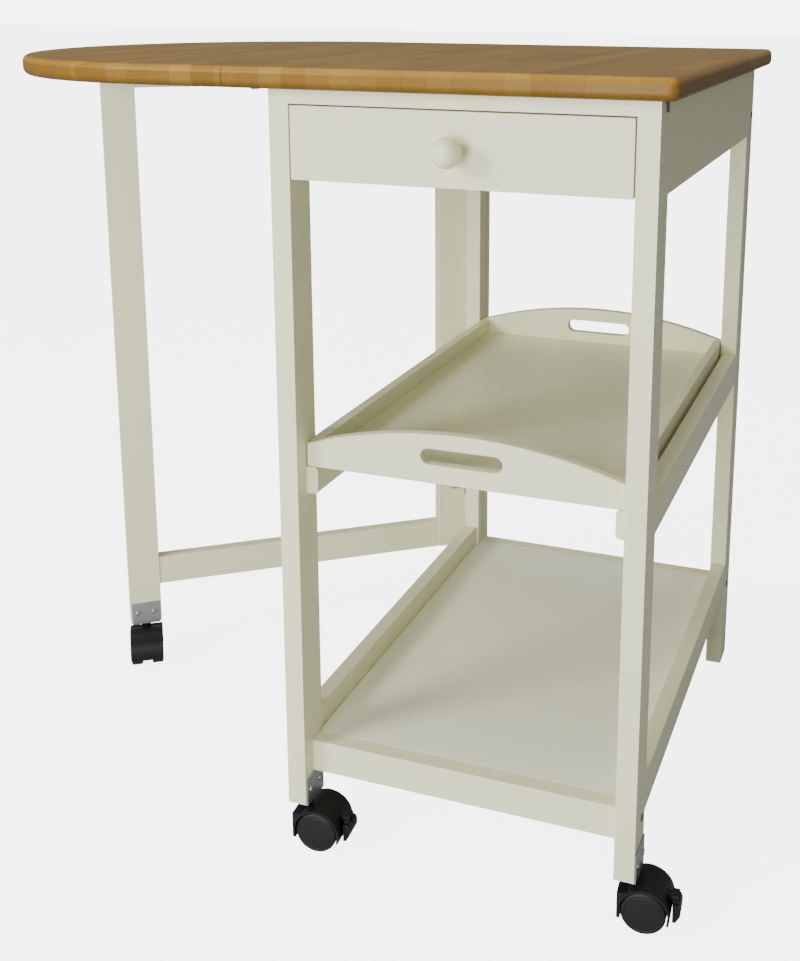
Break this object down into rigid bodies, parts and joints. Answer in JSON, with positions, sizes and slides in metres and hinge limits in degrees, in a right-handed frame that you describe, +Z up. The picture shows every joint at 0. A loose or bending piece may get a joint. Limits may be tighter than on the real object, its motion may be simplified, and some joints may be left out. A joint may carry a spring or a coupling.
{
  "type": "kitchen island cart",
  "caption": "Painted wood kitchen cart with a butcher-block top, rounded drop leaf on a swinging gate leg, drawer, lift-off tray, low shelf and braked casters.",
  "frame": {"origin": "on the floor, under the middle of the bounding box with the leaf up and everything at rest", "axes": "-Y is the front with the drawer, +X is the right-hand side, -X is the side with the leaf, and +Z is up"},
  "size_m": [0.8558, 0.663, 0.85],
  "materials": {
    "white_paint": "satin paint on wood",
    "oiled_wood": "satin oiled butcher block",
    "zinc": "zinc plated",
    "dark_steel": "dark plated",
    "black_plastic": "semi gloss",
    "black_rubber": "semi matte tread"
  },
  "bodies": {
    "frame": {"leg_front_left": "white_paint", "leg_front_right": "white_paint", "leg_back_left": "white_paint", "leg_back_right": "white_paint", "drawer_top_rail": "white_paint", "apron_back": "white_paint", "apron_left": "white_paint", "apron_right": "white_paint", "mid_rail_left": "white_paint", "mid_rail_right": "white_paint", "shelf_rail_left": "white_paint", "shelf_rail_right": "white_paint", "shelf_rail_front": "white_paint", "shelf_rail_back": "white_paint", "shelf_panel": "white_paint", "drawer_runner_left": "white_paint", "drawer_runner_right": "white_paint", "tray_bearer_left": "white_paint", "tray_bearer_right": "white_paint", "worktop": "oiled_wood", "drop_leaf": "oiled_wood", "leaf_hinge_fixed_plates": "zinc", "leaf_hinge_flap_plates": "zinc", "leaf_hinge_pins": "zinc", "gate_stop": "white_paint", "gate_hinge_frame_plates": "zinc", "gate_hinge_pins": "zinc", "frame_bolts": "dark_steel", "caster_brackets_front": "zinc", "caster_stems_front": "zinc"},
    "gate": {"gate_post": "white_paint", "gate_leg": "white_paint", "gate_stretcher": "white_paint", "gate_top_rail": "white_paint", "gate_hinge_gate_plates": "zinc", "caster_bracket_gate": "zinc", "caster_stem_gate": "zinc"},
    "drawer": {"drawer_front": "white_paint", "drawer_side_left": "white_paint", "drawer_side_right": "white_paint", "drawer_back": "white_paint", "drawer_bottom": "white_paint", "drawer_knob": "white_paint", "knob_screw": "zinc"},
    "tray": {"tray_side_left": "white_paint", "tray_side_right": "white_paint", "tray_floor": "white_paint", "tray_end_front": "white_paint", "tray_end_back": "white_paint"},
    "caster_front_left": {"caster_hood_front_left": "black_plastic"},
    "wheels_front_left": {"caster_wheels_front_left": "black_rubber", "caster_axle_front_left": "black_plastic"},
    "brake_front_left": {"caster_brake_front_left": "black_plastic"},
    "caster_front_right": {"caster_hood_front_right": "black_plastic"},
    "wheels_front_right": {"caster_wheels_front_right": "black_rubber", "caster_axle_front_right": "black_plastic"},
    "brake_front_right": {"caster_brake_front_right": "black_plastic"},
    "caster_gate": {"caster_hood_gate": "black_plastic"},
    "wheels_gate": {"caster_wheels_gate": "black_rubber", "caster_axle_gate": "black_plastic"}
  },
  "joints": [
    {"name": "gate_swing", "type": "hinge", "parent": "frame", "child": "gate", "pos_m": [-0.0035, 0.2835, 0.45], "axis": [0, 0, 1], "range_deg": [0, 52]},
    {"name": "drawer_slide", "type": "slide", "parent": "frame", "child": "drawer", "axis": [0, -1, 0], "range_m": [0, 0.3]},
    {"name": "tray_slide", "type": "slide", "parent": "frame", "child": "tray", "axis": [0, -1, 0], "range_m": [0, 0.45]},
    {"name": "swivel_front_left", "type": "hinge", "parent": "frame", "child": "caster_front_left", "pos_m": [0.0102, -0.2755, 0.04], "axis": [0, 0, 1], "continuous": true},
    {"name": "roll_front_left", "type": "hinge", "parent": "caster_front_left", "child": "wheels_front_left", "pos_m": [0.02915, -0.27418, 0.023], "axis": [-0.0698, 0.9976, 0], "continuous": true},
    {"name": "brake_front_left_tilt", "type": "hinge", "parent": "caster_front_left", "child": "brake_front_left", "pos_m": [0.05908, -0.27208, 0.036], "axis": [0.0698, -0.9976, 0], "range_deg": [0, 25]},
    {"name": "swivel_front_right", "type": "hinge", "parent": "frame", "child": "caster_front_right", "pos_m": [0.3722, -0.2755, 0.04], "axis": [0, 0, 1], "continuous": true},
    {"name": "roll_front_right", "type": "hinge", "parent": "caster_front_right", "child": "wheels_front_right", "pos_m": [0.39115, -0.27418, 0.023], "axis": [-0.0698, 0.9976, 0], "continuous": true},
    {"name": "brake_front_right_tilt", "type": "hinge", "parent": "caster_front_right", "child": "brake_front_right", "pos_m": [0.42108, -0.27208, 0.036], "axis": [0.0698, -0.9976, 0], "range_deg": [0, 25]},
    {"name": "swivel_gate", "type": "hinge", "parent": "gate", "child": "caster_gate", "pos_m": [-0.38466, 0.00309, 0.04], "axis": [0, 0, 1], "continuous": true},
    {"name": "roll_gate", "type": "hinge", "parent": "caster_gate", "child": "wheels_gate", "pos_m": [-0.37404, -0.01266, 0.023], "axis": [0.829, 0.5592, 0], "continuous": true}
  ]
}
